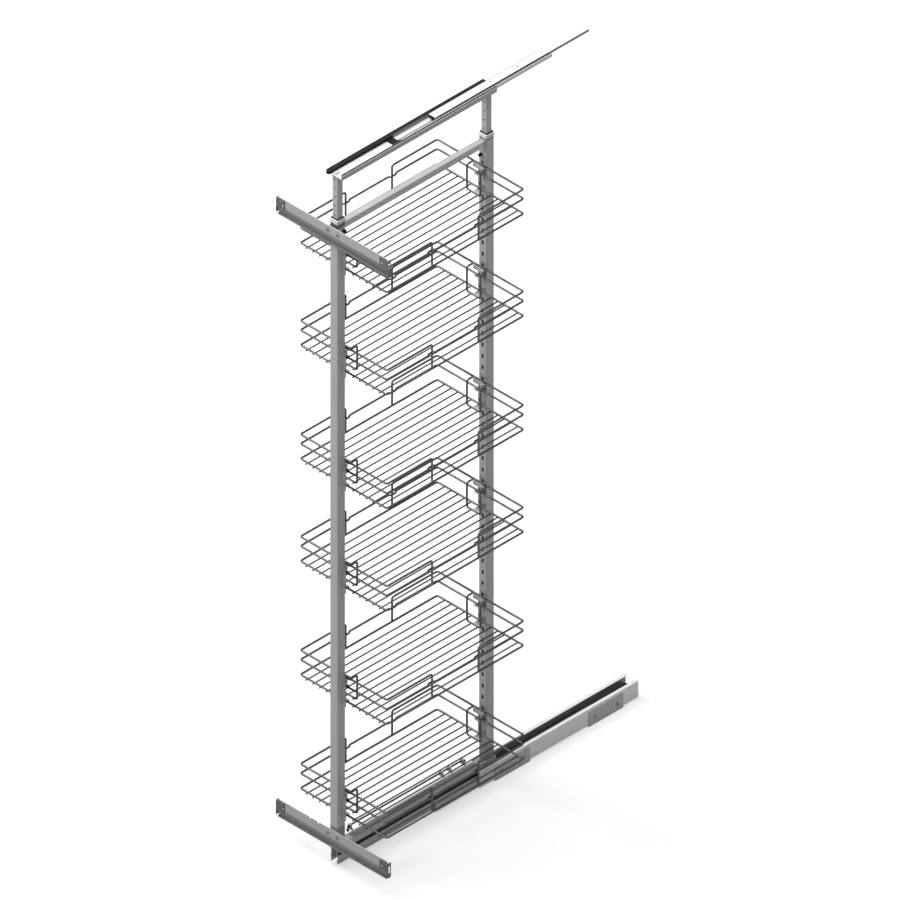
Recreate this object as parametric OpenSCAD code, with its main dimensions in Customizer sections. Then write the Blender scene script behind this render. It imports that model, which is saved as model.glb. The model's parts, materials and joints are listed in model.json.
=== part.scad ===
// Pull out larder unit for a 400 mm cabinet, drawn pulled out as it is sold.
// Millimetres. X runs across the cabinet, +Y into the cabinet and +Z up.
// The origin is the centre of the cabinet rail, on the cabinet's floor.

/* [Posts] */
// Side of the square outer posts
post_w = 25; // [24:0.5:26]
// Wall of the post tubes
tube_wall = 1.5; // [1.2:0.1:1.6]
// Distance between the axes of the two posts
post_pitch = 484; // [475:1:500]
// How far the front post stands in front of the cabinet rail's centre
front_post_out = 699; // [690:1:705]
// Height of the outer posts' top
post_top = 1811; // [1805:1:1820]
// Height of the lower end of the outer posts' tubes
post_bottom = 113; // [105:1:115]
// Side of the square inner posts
inner_w = 17.5; // [16:0.5:17.5]
// Height of the inner posts' top
inner_top = 1942.5; // [1930:0.5:1950]
// How far the inner posts reach down into the outer ones
inner_overlap = 200; // [150:10:220]

/* [Post slots] */
// Step of the slot row in the posts
slot_step = 32; // [32]
// Width of one slot
slot_w = 6; // [5:0.5:7]
// Height of one slot
slot_h = 12; // [10:1:14]

/* [Baskets] */
// Height of the top basket's rim
top_rim_z = 1738.5; // [1730:0.5:1740]
// Slot steps from the top basket down to each basket
basket_steps = [0, 9, 19, 28, 38, 48];
// Width of a basket between its outer wires' centres
basket_w = 281; // [271:2:289]
// Depth of a basket between its outer wires' centres
basket_d = 445; // [430:1:445]
// Height of the rim above the lowest wire
basket_h = 68.5; // [66:0.5:70]
// Height of the middle wire above the lowest wire
mid_wire_h = 42; // [38:1:44]
// Diameter of the outer wires
rim_d = 5; // [4.5:0.1:5]
// Diameter of the floor wires
grid_d = 3.6; // [3:0.1:4]
// Number of floor wires
grid_count = 12; // [8:1:14]
// Radius of the wire bends, to the wire's centre
bend_r = 6; // [5.5:0.5:8]
// Distance from a basket's end to where its long side drops
side_drop = 147; // [120:1:160]
// Half of the width of the end loop
loop_half = 22; // [22:0.5:24]
// How far the end loop stands in from the rim
loop_in = 22; // [20:0.5:24]

/* [Lower runner] */
// Length of the cabinet rail, its guide cap included
lower_rail_len = 515; // [500:1:520]
// Half of the cabinet rail's outer width
rail_half = 21.3; // [21.3]
// Height of the cabinet rail's underside
rail_z0 = 4.5; // [4.5]
// Height of the cabinet rail's top
rail_z1 = 49; // [48:0.5:49]
// Length of the plastic guide cap
cap_len = 51.5; // [40:0.5:52]
// Length of a floor saddle
saddle_len = 112; // [100:1:112]
// Distance between the two floor screws
floor_screw_pitch = 303; // [280:1:310]
// Radius of the floor screw holes
floor_hole_r = 2.6; // [2.2:0.1:3]
// Front end of the middle member in front of the rail's centre
middle_out = 398; // [390:1:400]
// Front end of the moving rail in front of the rail's centre
moving_out = 710; // [708:1:712]
// Half of the moving rail's width
moving_half = 11.5; // [11.5]
// Height of the moving rail's top
moving_top = 60; // [58:0.5:60]

/* [Door brackets] */
// Length of a door bracket
bracket_len = 364; // [340:2:380]
// Height of a door bracket
bracket_h = 45; // [45]
// Lower edge of the top door bracket
top_bracket_z = 1756.5; // [1750:0.5:1760]
// Lower edge of the bottom door bracket
bottom_bracket_z = 59.5; // [59:0.5:62]
// Distance between the two screws that hold a bracket to the post's plate
bracket_screw_pitch = 31.5; // [29:0.5:33]

/* [Top runner] */
// Width of the moving channel
channel_w = 45.5; // [45.5]
// Length of the moving channel
channel_len = 506; // [500:1:510]
// Height of the moving channel's side
channel_h = 14; // [13:0.5:14]
// Length of the top runner's cabinet member
upper_len = 501; // [495:1:505]
// Length of the top runner's middle member, its plastic end included
upper_middle_len = 508; // [500:1:510]
// Front end of the top middle member in front of the cabinet rail's centre
upper_middle_out = 530; // [525:1:532]
// Front end of the top cabinet member in front of the cabinet rail's centre
upper_cabinet_out = 397.5; // [395:0.5:400]
// Radius of the holes for the cabinet top screws
ceiling_hole_r = 2.5; // [2:0.25:2.5]
// Diameter of the balls in the top runner
upper_ball_d = 3.4; // [3:0.1:3.4]

/* [Hidden] */
$fn = 32;
hanger_names = [for (side = ["front", "rear"]) for (i = [1 : 6]) str(side, "_hanger_", i)];
basket_names = [for (i = [1 : 6]) str("basket_", i)];

steel = [0.66, 0.68, 0.69];
light_steel = [0.85, 0.87, 0.88];
dark_steel = [0.40, 0.42, 0.43];
chrome = [0.52, 0.54, 0.55];
black = [0.13, 0.13, 0.14];
grey_plastic = [0.42, 0.44, 0.45];
white_plastic = [0.82, 0.84, 0.85];

over = 1;                 // how far a cut runs past the face that it opens
sheet = 1.5;              // thickness of the folded sheet parts
post_y = [-front_post_out, -front_post_out + post_pitch];
inward = [1, -1];         // from the front and from the rear post towards the baskets
post_half = post_w / 2;
tube_in = post_half - tube_wall;
inner_bottom = post_top - inner_overlap;
rim_z = [for (n = basket_steps) top_rim_z - n * slot_step];
basket_gap = (post_pitch - basket_d) / 2;    // from a post's axis to the end wires
rail_front = -lower_rail_len / 2;
rail_back = lower_rail_len / 2;
saddle_y = [-floor_screw_pitch / 2, floor_screw_pitch / 2];
saddle_screw_y = 36;      // from the saddle's centre to its side screws
saddle_screw_z = 20;
saddle_hole_r = 2.1;      // for the side screws
rail_gap_half = 12.6;     // half of the slot between the cabinet rail's lips
moving_z0 = 10;
guide_z = [33, 44];        // lower and upper edge of the moving rail's upper groove
lower_len = 514;          // length of the two sliding members of the lower runner
channel_z = inner_top;    // underside of the moving channel
channel_web = 2.5;
channel_front = post_y[0] - 10;
upper_z = channel_z + channel_web + 0.5;     // underside of the top middle member
upper_mid_x = [-9.7, 20.8];
upper_mid_top = channel_z + channel_h - 0.5;
upper_cab_x = [-4.5, 15.6];
upper_cab_top = channel_z + 17;
upper_cab_h = 8;
upper_ball_z = channel_z + 11;
upper_centre_x = (upper_mid_x[0] + upper_mid_x[1]) / 2;
ceiling_hole_y = [-234, -213, -59, 26, 213, 234];   // from the member's middle
upper_cab_mid_y = -upper_cabinet_out + upper_len / 2;
bracket_t = 2;
bracket_plate_t = 3;
bracket_y = post_y[0] - post_half - bracket_plate_t - bracket_t;
bracket_body_half = bracket_len / 2 - 4.5;
bracket_screw_up = 30;    // height of the bracket screws above its lower edge
clip_len = 27;
clip_hole_r = 3.4;
clip_hole_in = 21;        // from the bracket's end to its fixing hole
clip_hole_up = 24.5;      // height of the fixing hole above the bracket's lower edge
catch_x = -20;            // axis of the catch rod
catch_z = 70;
catch_y = [post_y[0] + 53, post_y[0] + 432];
catch_knob_z = [59, 64.5]; // heights of the knobs below the rod's bent ends
channel_screw_dy = 4;     // from an inner post's axis to each of its two screws
clamp_z = [1785.5, 1762]; // heights of the clamp screws of the front and the rear post
clamp_in = 8.5;           // from the front post's axis inwards to its clamp screw
clamp_x = -4;             // from the rear post's axis sideways to its clamp screw
slot_below_rim = 31.5;    // from a basket's rim to the slot that its hanger hooks into
weld = 0.5;               // how far welded wires sink into one another
nose_len = 17;            // length of the plastic front end of the top middle member

// ---- helpers ---------------------------------------------------------------------------

module block(low, high) {
    translate(low) cube(high - low);
}

// A profile in X and Z, drawn out along Y
module along_y(y0, y1) {
    translate([0, y1, 0]) rotate([90, 0, 0]) linear_extrude(y1 - y0) children();
}

// A profile in Y and Z, drawn out along X
module along_x(x0, x1) {
    translate([x0, 0, 0]) rotate([90, 0, 90]) linear_extrude(x1 - x0) children();
}

module rod_x(x0, x1, y, z, r) {
    translate([x0, y, z]) rotate([0, 90, 0]) cylinder(r = r, h = x1 - x0);
}

module rod_y(y0, y1, x, z, r) {
    translate([x, y1, z]) rotate([90, 0, 0]) cylinder(r = r, h = y1 - y0);
}

module rod_z(z0, z1, x, y, r) {
    translate([x, y, z0]) cylinder(r = r, h = z1 - z0);
}

// A square with rounded corners
module round_square(w, r) {
    square([w, w - 2 * r], center = true);
    square([w - 2 * r, w], center = true);
    for (x = [-1, 1]) for (y = [-1, 1]) {
        translate([x, y] * (w / 2 - r)) circle(r);
    }
}

module square_tube(w, wall, r, h) {
    linear_extrude(h) difference() {
        round_square(w, r);
        square(w - 2 * wall, center = true);
    }
}

function unit(v) = v / norm(v);
function turn(a, b, c) = acos(unit(b - a) * unit(c - b));
// Straight length that a bend at b takes from each of its two runs
function taken(a, b, c, bend) = bend * tan(turn(a, b, c) / 2);

module placed(origin, x, y, z) {
    multmatrix([
        [x[0], y[0], z[0], origin[0]],
        [x[1], y[1], z[1], origin[1]],
        [x[2], y[2], z[2], origin[2]],
        [0, 0, 0, 1]
    ]) children();
}

module run(a, b, r) {
    z = unit(b - a);
    x = unit(cross(abs(z[2]) < 0.9 ? [0, 0, 1] : [1, 0, 0], z));
    placed(a, x, cross(z, x), z) cylinder(r = r, h = norm(b - a));
}

// The bend at b between the runs a-b and b-c
module elbow(a, b, c, r, bend) {
    ahead = unit(b - a);
    axis = unit(cross(ahead, unit(c - b)));
    out = cross(ahead, axis);
    start = b - ahead * taken(a, b, c, bend);
    placed(start - out * bend, out, ahead, axis) {
        rotate_extrude(angle = turn(a, b, c)) translate([bend, 0]) circle(r);
    }
}

// A round wire through points, with its corners bent to a radius
module wire(p, r, bend, closed = false) {
    n = len(p);
    for (i = [0 : (closed ? n - 1 : n - 2)]) {
        a = p[i];
        b = p[(i + 1) % n];
        c = p[(i + 2) % n];
        ahead = unit(b - a);
        before = closed || i > 0 ? taken(p[(i - 1 + n) % n], a, b, bend) : 0;
        after = closed || i < n - 2 ? taken(a, b, c, bend) : 0;
        run(a + ahead * before, b - ahead * after, r);
        if (closed || i < n - 2) elbow(a, b, c, r, bend);
    }
}

// ---- lower runner ----------------------------------------------------------------------

// The C outline that the cabinet rail and its guide cap share
module rail_profile() {
    h = rail_half;
    t = sheet;
    polygon([
        [-h, rail_z0], [h, rail_z0], [h, rail_z1], [rail_gap_half, rail_z1],
        [rail_gap_half, rail_z1 - t], [h - t, rail_z1 - t], [h - t, rail_z0 + t],
        [t - h, rail_z0 + t], [t - h, rail_z1 - t], [-rail_gap_half, rail_z1 - t],
        [-rail_gap_half, rail_z1], [-h, rail_z1]
    ]);
}

module lower_cabinet_rail() {
    color(steel) difference() {
        along_y(rail_front + cap_len, rail_back) rail_profile();
        for (y = saddle_y) {
            rod_z(rail_z0 - over, rail_z0 + sheet + over, 0, y, floor_hole_r);
            for (dy = [-saddle_screw_y, saddle_screw_y]) {
                rod_x(-rail_half - over, rail_half + over, y + dy, saddle_screw_z, saddle_hole_r);
            }
        }
    }
}

module front_guide_cap() {
    groove = 0.7;
    groove_z = [[12, 17], [22, 27], [33, 38]];
    color(grey_plastic) difference() {
        along_y(rail_front, rail_front + cap_len) rail_profile();
        for (s = [-1, 1]) for (z = groove_z) {
            block(
                [min(s * rail_half, s * (rail_half - groove)), rail_front - over, z[0]],
                [max(s * rail_half, s * (rail_half - groove)), rail_front + cap_len + over, z[1]]
            );
        }
    }
}

module saddle(y) {
    half = saddle_len / 2;
    out = rail_half + sheet;
    plate_z = 40;
    boss_r = 8;
    color(dark_steel) difference() {
        union() {
            along_y(y - half, y + half) polygon([
                [-out, 0], [out, 0], [out, plate_z], [rail_half, plate_z], [rail_half, sheet],
                [-rail_half, sheet], [-rail_half, plate_z], [-out, plate_z]
            ]);
            rod_z(sheet / 2, rail_z0, 0, y, boss_r);
            for (dy = [-saddle_screw_y, saddle_screw_y]) {
                rod_z(sheet / 2, rail_z0, 0, y + dy, boss_r);
            }
        }
        rod_z(-over, rail_z0 + over, 0, y, floor_hole_r);
        for (dy = [-saddle_screw_y, saddle_screw_y]) {
            rod_x(-out - over, out + over, y + dy, saddle_screw_z, saddle_hole_r);
        }
    }
}

module front_saddle() {
    saddle(saddle_y[0]);
}

module rear_saddle() {
    saddle(saddle_y[1]);
}

// Screws through the sides of the saddles into the cabinet rail
module saddle_screws() {
    out = rail_half + sheet;
    color(light_steel) for (y = saddle_y) for (dy = [-saddle_screw_y, saddle_screw_y]) {
        for (s = [0, 1]) mirror([s, 0, 0]) translate([0, y + dy, saddle_screw_z]) {
            rotate([0, 90, 0]) {
                translate([0, 0, out - 2.8]) cylinder(r = 1.95, h = 3);
                translate([0, 0, out]) difference() {
                    cylinder(r = 3.6, h = 1.8);
                    translate([0, 0, 0.9]) cylinder(r = 1.6, h = 2, $fn = 6);
                }
            }
        }
    }
}

module rail_end_stop() {
    color(black) block([-18, rail_back - 9, rail_z0 + sheet], [18, rail_back, 24]);
}

// The middle member: a tray with two walls between the rows of balls
module lower_middle_rail() {
    z0 = 6.6;
    z1 = 24;
    floor_z = z0 + sheet;
    skirt_z = 11.5;
    color(dark_steel) along_y(-middle_out, -middle_out + lower_len) polygon([
        [-19, z0], [19, z0], [19, skirt_z], [17.5, skirt_z], [17.5, floor_z], [16.4, floor_z],
        [16.4, z1], [14.9, z1], [14.9, floor_z], [-14.9, floor_z], [-14.9, z1], [-16.4, z1],
        [-16.4, floor_z], [-17.5, floor_z], [-17.5, skirt_z], [-19, skirt_z]
    ]);
}

// Two strips with a row of balls in each
module ball_cage(x, z, d, y, length, count, strip_h) {
    gap = length / count;
    for (s = [-1, 1]) {
        color(grey_plastic) difference() {
            block([s * x - 0.4, y - length / 2, z - strip_h / 2],
                  [s * x + 0.4, y + length / 2, z + strip_h / 2]);
            for (i = [0 : count - 1]) {
                rod_x(s * x - 2, s * x + 2, y - length / 2 + gap * (i + 0.5), z, d / 2 + 0.1);
            }
        }
        color(light_steel) for (i = [0 : count - 1]) {
            translate([s * x, y - length / 2 + gap * (i + 0.5), z]) sphere(d = d);
        }
    }
}

module lower_outer_ball_cage() {
    ball_cage(18.1, 17, 3, -70, 200, 10, 5.6);
}

module lower_inner_ball_cage() {
    ball_cage(12.5, 17, 4.4, -297, 100, 6, 5.6);
}

// The moving rail: an inverted channel whose walls are rolled in twice
module lower_moving_rail() {
    h = moving_half;
    t = sheet;
    top = moving_top;
    in = h - t;
    deep = h - 2 * t;
    g0 = guide_z[0];
    g1 = guide_z[1];
    side = [
        [h, moving_z0], [h, 14], [in, 14], [in, 20], [h, 20], [h, g0], [in, g0], [in, g1],
        [h, g1], [h, top]
    ];
    inside = [
        [in, top - t], [in, g1 + t], [deep, g1 + t], [deep, g0 - t], [in, g0 - t],
        [in, 20 + t], [deep, 20 + t], [deep, 14 - t], [in, 14 - t], [in, moving_z0]
    ];
    left_side = [for (i = [len(side) - 1 : -1 : 0]) [-side[i][0], side[i][1]]];
    left_inside = [for (i = [len(inside) - 1 : -1 : 0]) [-inside[i][0], inside[i][1]]];
    color(steel) along_y(-moving_out, -moving_out + lower_len) {
        polygon(concat(side, left_side, left_inside, inside));
    }
}

// Black guide strips in the upper grooves of the moving rail
module rail_guide_strips() {
    color(black) for (s = [0, 1]) mirror([s, 0, 0]) {
        block([moving_half - sheet, 2 - moving_out, guide_z[0] + 0.2],
              [moving_half - 0.4, lower_len - moving_out - 2, guide_z[1] - 0.2]);
    }
}

module rail_cover_strip() {
    color(grey_plastic) {
        block([-5.5, post_y[0] + 42, moving_top], [moving_half, post_y[1] - 38, moving_top + 1]);
    }
}

// ---- posts -----------------------------------------------------------------------------

// The block that joins a post to the moving rail, with a spigot up into the post's tube
module post_foot(y) {
    spigot = 2 * (tube_in - 0.2);
    translate([0, y, moving_top]) linear_extrude(post_bottom - moving_top) {
        round_square(post_w, 2);
    }
    translate([-spigot / 2, y - spigot / 2, post_bottom - over]) cube([spigot, spigot, 20]);
}

module front_post_foot() {
    color(grey_plastic) post_foot(post_y[0]);
}

// The rear foot also has two cheeks that reach down over the moving rail's sides
module rear_post_foot() {
    y = post_y[1];
    cheek_in = moving_half + 0.3;
    cheek_out = cheek_in + sheet;
    color(grey_plastic) difference() {
        union() {
            post_foot(y);
            for (s = [0, 1]) mirror([s, 0, 0]) {
                block([cheek_in, y - 34, rail_z1 + 1.5], [cheek_out, y + 16, moving_top + over]);
            }
        }
        for (s = [0, 1]) mirror([s, 0, 0]) {
            rod_x(moving_half, cheek_out + over, y - 16, moving_top - 2.5, 2.3);
        }
    }
}

// An outer post with its row of slots towards the baskets and the hole for its clamp screw
module outer_post(i) {
    y = post_y[i];
    first = top_rim_z - slot_below_rim + slot_step;
    rows = floor((first - post_bottom - 20) / slot_step);
    face = y + inward[i] * (post_half - tube_wall / 2);
    color(steel) difference() {
        translate([0, y, post_bottom]) square_tube(post_w, tube_wall, 2, post_top - post_bottom);
        for (row = [0 : rows]) {
            z = first - row * slot_step;
            block([-slot_w / 2, face - tube_wall, z - slot_h / 2],
                  [slot_w / 2, face + tube_wall, z + slot_h / 2]);
        }
        if (i == 0) {
            rod_x(tube_in - over, post_half + over, y + clamp_in, clamp_z[i], 2.6);
        } else {
            rod_y(face - tube_wall, face + tube_wall, clamp_x, clamp_z[i], 2.6);
        }
    }
}

module front_post() {
    outer_post(0);
}

module rear_post() {
    outer_post(1);
}

module crossbar() {
    z0 = 1788;
    h = 17;
    w = 16;
    length = post_pitch - post_w;
    color(light_steel) difference() {
        block([-w / 2, post_y[0] + post_half, z0], [w / 2, post_y[1] - post_half, z0 + h]);
        block([-w / 2 + sheet, post_y[0] + post_half - over, z0 + sheet],
              [w / 2 - sheet, post_y[0] + post_half + length + over, z0 + h - sheet]);
    }
}

// A plastic ring on the post's top, with a sleeve that guides the inner post
module collar(y) {
    ring_w = post_w + 2;
    ring_h = 10;
    hole = inner_w + 0.7;
    sleeve = 2 * tube_in - 0.2;
    color(white_plastic) translate([0, y, 0]) difference() {
        union() {
            translate([0, 0, post_top]) linear_extrude(ring_h) round_square(ring_w, 3);
            translate([-sleeve / 2, -sleeve / 2, post_top - 12]) cube([sleeve, sleeve, 13]);
        }
        translate([-hole / 2, -hole / 2, post_top - 13]) cube([hole, hole, 40]);
    }
}

module front_collar() {
    collar(post_y[0]);
}

module rear_collar() {
    collar(post_y[1]);
}

// The two screws that lock the inner posts at their height
module clamp_screws() {
    tip = inner_w / 2 + 0.3;
    front_y = post_y[0] + clamp_in;
    color(black) {
        rod_x(tip, post_half + 0.5, front_y, clamp_z[0], 2.4);
        rod_x(post_half, post_half + 4.5, front_y, clamp_z[0], 4.5);
        rod_y(post_y[1] - post_half - 0.5, post_y[1] - tip, clamp_x, clamp_z[1], 2.4);
        rod_y(post_y[1] - post_half - 8, post_y[1] - post_half, clamp_x, clamp_z[1], 4);
    }
}

module inner_post(y) {
    pitch = 25;
    rows = floor((inner_top - post_top - 30) / pitch);
    color(steel) difference() {
        translate([0, y, inner_bottom]) {
            square_tube(inner_w, tube_wall, 1.5, inner_top - inner_bottom);
        }
        for (i = [0 : rows]) {
            z = post_top + 22 + i * pitch;
            rod_y(y - inner_w / 2 - over, y - inner_w / 2 + tube_wall + over, 0, z, 2.2);
        }
    }
}

module front_inner_post() {
    inner_post(post_y[0]);
}

module rear_inner_post() {
    inner_post(post_y[1]);
}

// ---- door brackets ---------------------------------------------------------------------

// Outline of a door bracket: a flat upper band, a lower band that curves back towards the
// post and a thin flange that stands forward along its lower edge
module bracket_profile() {
    t = bracket_t;
    edge = 0.6;
    flange = [-3.4, -2];                     // underside and top of the flange
    polygon([
        [-1.5, flange[0]], [4.7, flange[0]], [4.7, 4], [3.4, 9], [2.5, 14], [t, 20],
        [t, bracket_h - edge], [t - edge, bracket_h], [edge, bracket_h], [0, bracket_h - edge],
        [0, 20], [0.5, 15], [1.4, 10.5], [2.5, 7], [3.4, 3], [3.4, flange[1]],
        [-1.5, flange[1]]
    ]);
}

module door_bracket(z) {
    color(steel) difference() {
        translate([0, bracket_y, z]) along_x(-bracket_body_half, bracket_body_half) {
            bracket_profile();
        }
        for (s = [-1, 1]) {
            rod_y(bracket_y - over, bracket_y + bracket_t + over, s * bracket_screw_pitch / 2,
                  z + bracket_screw_up, 2.2);
            rod_y(bracket_y - over, bracket_y + bracket_t + over,
                  s * (bracket_len / 2 - clip_hole_in), z + clip_hole_up, clip_hole_r);
        }
    }
}

module top_door_bracket() {
    door_bracket(top_bracket_z);
}

// The bottom bracket also has two notches in its top edge
module bottom_door_bracket() {
    notch_x = [-73, -47];
    difference() {
        door_bracket(bottom_bracket_z);
        color(steel) for (x = notch_x) {
            block([x - 3, bracket_y - over, bottom_bracket_z + bracket_h - 5],
                  [x + 3, bracket_y + bracket_t + over, bottom_bracket_z + bracket_h + over]);
        }
    }
}

// The two door clips of a bracket: a plate in front of each end and a turned-back wall
module bracket_clips(z) {
    half = bracket_len / 2;
    plate_z = [z + 15.5, z + 41];
    color(dark_steel) for (s = [0, 1]) mirror([s, 0, 0]) difference() {
        union() {
            block([half - clip_len, bracket_y - sheet, plate_z[0]],
                  [half, bracket_y, plate_z[1]]);
            block([half - sheet, bracket_y - sheet, z], [half, bracket_y + 9, plate_z[1]]);
        }
        rod_y(bracket_y - sheet - over, bracket_y + over, half - clip_hole_in,
              z + clip_hole_up, clip_hole_r);
        block([half - clip_len + 3, bracket_y - sheet - over, z + 33],
              [half - 6, bracket_y + over, z + 37]);
        block([half - sheet - over, bracket_y + 1.5, z + 12], [half + over, bracket_y + 7, z + 32]);
    }
}

module top_bracket_clips() {
    bracket_clips(top_bracket_z);
}

module bottom_bracket_clips() {
    bracket_clips(bottom_bracket_z);
}

// Plates welded across the front post, which take the door brackets' screws
module bracket_plates() {
    half = bracket_screw_pitch / 2 + 6;
    color(dark_steel) for (z = [top_bracket_z, bottom_bracket_z]) difference() {
        block([-half, bracket_y + bracket_t, z + bracket_screw_up - 10],
              [half, bracket_y + bracket_t + bracket_plate_t, z + bracket_screw_up + 12]);
        for (s = [-1, 1]) {
            rod_y(bracket_y, bracket_y + bracket_t + bracket_plate_t + over,
                  s * bracket_screw_pitch / 2, z + bracket_screw_up, 2);
        }
    }
}

// Screws that hold both door brackets to their plates
module bracket_screws() {
    color(dark_steel) for (z = [top_bracket_z, bottom_bracket_z]) for (s = [-1, 1]) {
        x = s * bracket_screw_pitch / 2;
        rod_y(bracket_y, bracket_y + bracket_t + bracket_plate_t + 1.5, x, z + bracket_screw_up, 1.9);
        difference() {
            rod_y(bracket_y - 1.5, bracket_y, x, z + bracket_screw_up, 4.4);
            rod_y(bracket_y - 2, bracket_y - 0.6, x, z + bracket_screw_up, 2, $fn = 6);
        }
    }
}

// ---- catch rod beside the moving rail --------------------------------------------------

// Its two ends bend down to a knob
module catch_rod() {
    bend = 4;
    color(black) {
        wire([[catch_x, catch_y[0], catch_knob_z[0]], [catch_x, catch_y[0], catch_z],
              [catch_x, catch_y[1], catch_z], [catch_x, catch_y[1], catch_knob_z[1]]], 2, bend);
        for (i = [0, 1]) translate([catch_x, catch_y[i], catch_knob_z[i]]) sphere(r = 3.6);
    }
}

module rod_clips() {
    arm_y = [post_y[0] + 60, post_y[0] + 357, post_y[0] + 383, post_y[0] + 425];
    arm_w = 6;
    color(dark_steel) for (y = arm_y) difference() {
        union() {
            block([catch_x, y - arm_w / 2, moving_top + 1],
                  [-2, y + arm_w / 2, moving_top + 1 + sheet]);
            block([catch_x - 4, y - arm_w / 2, moving_top + 1],
                  [catch_x + 4, y + arm_w / 2, catch_z + 3]);
        }
        rod_y(y - arm_w, y + arm_w, catch_x, catch_z, 2.05);
    }
}

// ---- hangers and baskets ---------------------------------------------------------------

// A folded clip on a post that carries one end of a basket: one hook for the rim wire, one
// for the middle wire and a foot that reaches in under the end wire
module hanger(i, end) {
    out = post_half + sheet;
    top = rim_z[i];
    cheek_back = 3;                          // from the post's axis to the cheeks' far edge
    z0 = top - 80;
    z1 = top - 10;
    seat = rim_d / 2 + 0.3;                  // from a wire's centre to the hook's floor below it
    lip = basket_gap + rim_d / 2 + 2.5;      // inner face of the upturned lips
    hook_half = 18.3;
    mid_half = 14;
    mid_z = top - basket_h + mid_wire_h - seat;
    foot_half = 9.5;
    foot_reach = 32;
    foot_z = top - basket_h - rim_d / 2 - 1;
    color(light_steel) translate([0, post_y[end], 0]) mirror([0, end, 0]) difference() {
        union() {
            block([-out, post_half, z0], [out, out, z1]);
            for (s = [0, 1]) mirror([s, 0, 0]) {
                block([post_half, cheek_back, z0], [out, out, z1]);
            }
            block([-hook_half, post_half, z1 - 2], [hook_half, out, top - seat]);
            block([-hook_half, out - over, top - seat - sheet], [hook_half, lip + sheet, top - seat]);
            block([-hook_half, lip, z1], [hook_half, lip + sheet, top + 1]);
            block([-mid_half, out - over, mid_z - sheet], [mid_half, lip + sheet, mid_z]);
            block([-mid_half, lip, mid_z - sheet], [mid_half, lip + sheet, mid_z + 4]);
            block([-foot_half, out - over, foot_z - sheet], [foot_half, foot_reach, foot_z]);
            for (n = [0, 1]) {
                z = top - slot_below_rim - n * slot_step;
                block([-slot_w / 2 + 0.4, tube_in - 0.8, z - 5],
                      [slot_w / 2 - 0.4, post_half + over, z + 4]);
            }
        }
        for (x = [-8.5, 8.5]) for (dz = [20, 62]) {
            block([x - 2.5, post_half - over, top - dz - 4], [x + 2.5, out + over, top - dz + 4]);
        }
    }
}

// A long side's middle wire, from front to rear, stepping in at each upright wire
function side_points(x, dir, z, drops) = [
    for (y = drops) for (p = [[-13, 0], [-7, 1], [7, 1], [13, 0]])
        [x - dir * p[1] * (rim_d - 0.5), y + p[0], z]
];

module basket(i) {
    top = rim_z[i];
    low = top - basket_h;
    mid = low + mid_wire_h;
    x = basket_w / 2;
    y0 = post_y[0] + basket_gap;
    y1 = post_y[1] - basket_gap;
    drops = [y0 + side_drop, y1 - side_drop];
    grid_z = low - (rim_d + grid_d) / 2 + weld;
    grid_step = basket_w / (grid_count + 1);
    tail = 3.5;                              // how far floor wires run past the wire they end at
    r = rim_d / 2;
    right = side_points(x, 1, mid, drops);
    left = side_points(-x, -1, mid, drops);
    left_back = [for (k = [len(left) - 1 : -1 : 0]) left[k]];
    color(chrome) {
        wire([[-x, y0, low], [x, y0, low], [x, y1, low], [-x, y1, low]], r, bend_r, closed = true);
        wire(concat([[-x, y0, mid], [x, y0, mid]], right, [[x, y1, mid], [-x, y1, mid]], left_back),
             r, bend_r, closed = true);
        for (end = [0, 1]) {
            y = end == 0 ? y0 : y1;
            drop = drops[end];
            wire([[x, drop, low], [x, drop, top], [x, y, top], [-x, y, top], [-x, drop, top],
                  [-x, drop, low]], r, bend_r);
            loop_y = y + inward[end] * loop_in;
            wire([[loop_half, y, top], [loop_half, loop_y, top], [loop_half, loop_y, low],
                  [-loop_half, loop_y, low], [-loop_half, loop_y, top], [-loop_half, y, top]],
                 r, bend_r);
        }
        for (k = [1 : grid_count]) {
            grid_x = -x + k * grid_step;
            shorter = abs(grid_x) < loop_half ? loop_in : 0;
            rod_y(y0 + shorter - tail, y1 - shorter + tail, grid_x, grid_z, grid_d / 2);
        }
    }
}

// ---- top runner ------------------------------------------------------------------------

// The moving channel: a web, a low side for the damper and a tall side that hangs down past
// the web and is rolled thinner along its top
module upper_moving_channel() {
    h = channel_w / 2;
    z = channel_z;
    t = sheet;
    skirt = 4.3;
    rolled = 0.9;
    hole_y = [31, 44, 83, 110];
    hole_r = [1.6, 2, 2.8, 2.2];
    color(light_steel) difference() {
        along_y(channel_front, channel_front + channel_len) polygon([
            [-h, z], [h - t, z], [h - t, z - skirt], [h, z - skirt], [h, z + 8.4],
            [h - rolled, z + 9], [h - rolled, z + channel_h], [h - t, z + channel_h],
            [h - t, z + channel_web], [-h + t, z + channel_web], [-h + t, z + channel_web + 3],
            [-h, z + channel_web + 3]
        ]);
        for (i = [0 : len(hole_y) - 1]) {
            rod_z(z - over, z + channel_web + over, 0, channel_front + hole_y[i], hole_r[i]);
        }
        for (y = post_y) for (dy = [-1, 1] * channel_screw_dy) {
            rod_z(z - over, z + channel_web + over, 0, y + dy, 2);
            rod_z(z + channel_web - 1.2, z + channel_web + over, 0, y + dy, 3.5);
        }
    }
}

// Flat-headed screws that hold the channel to the tops of the inner posts
module channel_screws() {
    head_h = 1.2;
    z1 = channel_z + channel_web;
    color(dark_steel) for (y = post_y) for (dy = [-1, 1] * channel_screw_dy) {
        rod_z(channel_z - 14, z1 - head_h, 0, y + dy, 1.9);
        rod_z(z1 - head_h, z1, 0, y + dy, 3.4);
    }
}

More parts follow.
